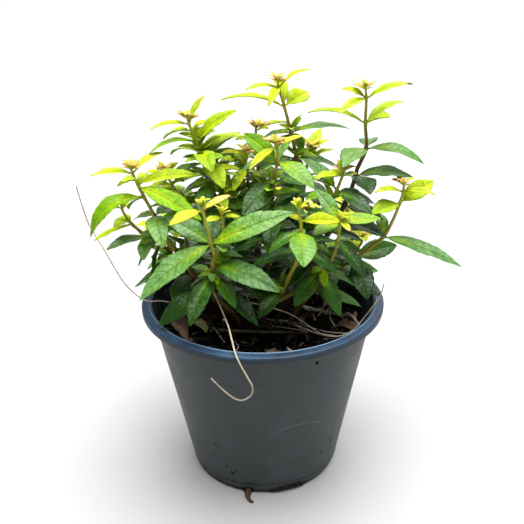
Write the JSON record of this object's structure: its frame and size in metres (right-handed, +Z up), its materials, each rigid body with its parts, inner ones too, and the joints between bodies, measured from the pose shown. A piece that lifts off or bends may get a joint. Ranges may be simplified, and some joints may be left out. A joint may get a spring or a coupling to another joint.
{
  "type": "potted plant",
  "caption": "Bushy lemon verbena in a tapered dark grey nursery pot with a flat blue-grey rim, whorled lance-shaped leaves with yellow-green tips, and dried stalks over the rim",
  "frame": {"origin": "centre of the pot's flat underside, on the surface it stands on", "axes": "+Z up, -Y towards the viewer of the picture, +X to the viewer's right"},
  "size_m": [0.2896, 0.2414, 0.3203],
  "materials": {
    "pot_plastic": "dull moulded plastic, bluer on the rim",
    "soil": "damp potting compost with bark fibres",
    "foliage": "living leaves with a soft sheen, young ones yellow-green",
    "dry_stem": "bleached dry stem",
    "dead_leaf": "curled dry leaf",
    "root": "brown root"
  },
  "bodies": {
    "root": {"pot": "pot_plastic", "soil": "soil", "stem_tall_center": "foliage", "stem_tall_right": "foliage", "stem_left_high": "foliage", "stem_left_low": "foliage", "stem_left_lowest": "foliage", "stem_front_left": "foliage", "stem_center": "foliage", "stem_right": "foliage", "stem_right_center": "foliage", "stem_front_center": "foliage", "stem_back_center": "foliage", "stem_back_left": "foliage", "stem_back_right": "foliage", "stem_left_back": "foliage", "stem_right_back": "foliage", "stalk_left": "dry_stem", "stalk_front": "dry_stem", "stalk_right": "dry_stem", "root": "root", "twig_long": "dry_stem", "twig_thin": "dry_stem", "twig_pale_right": "dry_stem", "twig_left": "dry_stem", "dead_leaf_brown": "dead_leaf", "dead_leaf_yellow": "dead_leaf", "dead_leaf_front": "dead_leaf", "dead_leaf_right": "dead_leaf"}
  },
  "joints": []
}
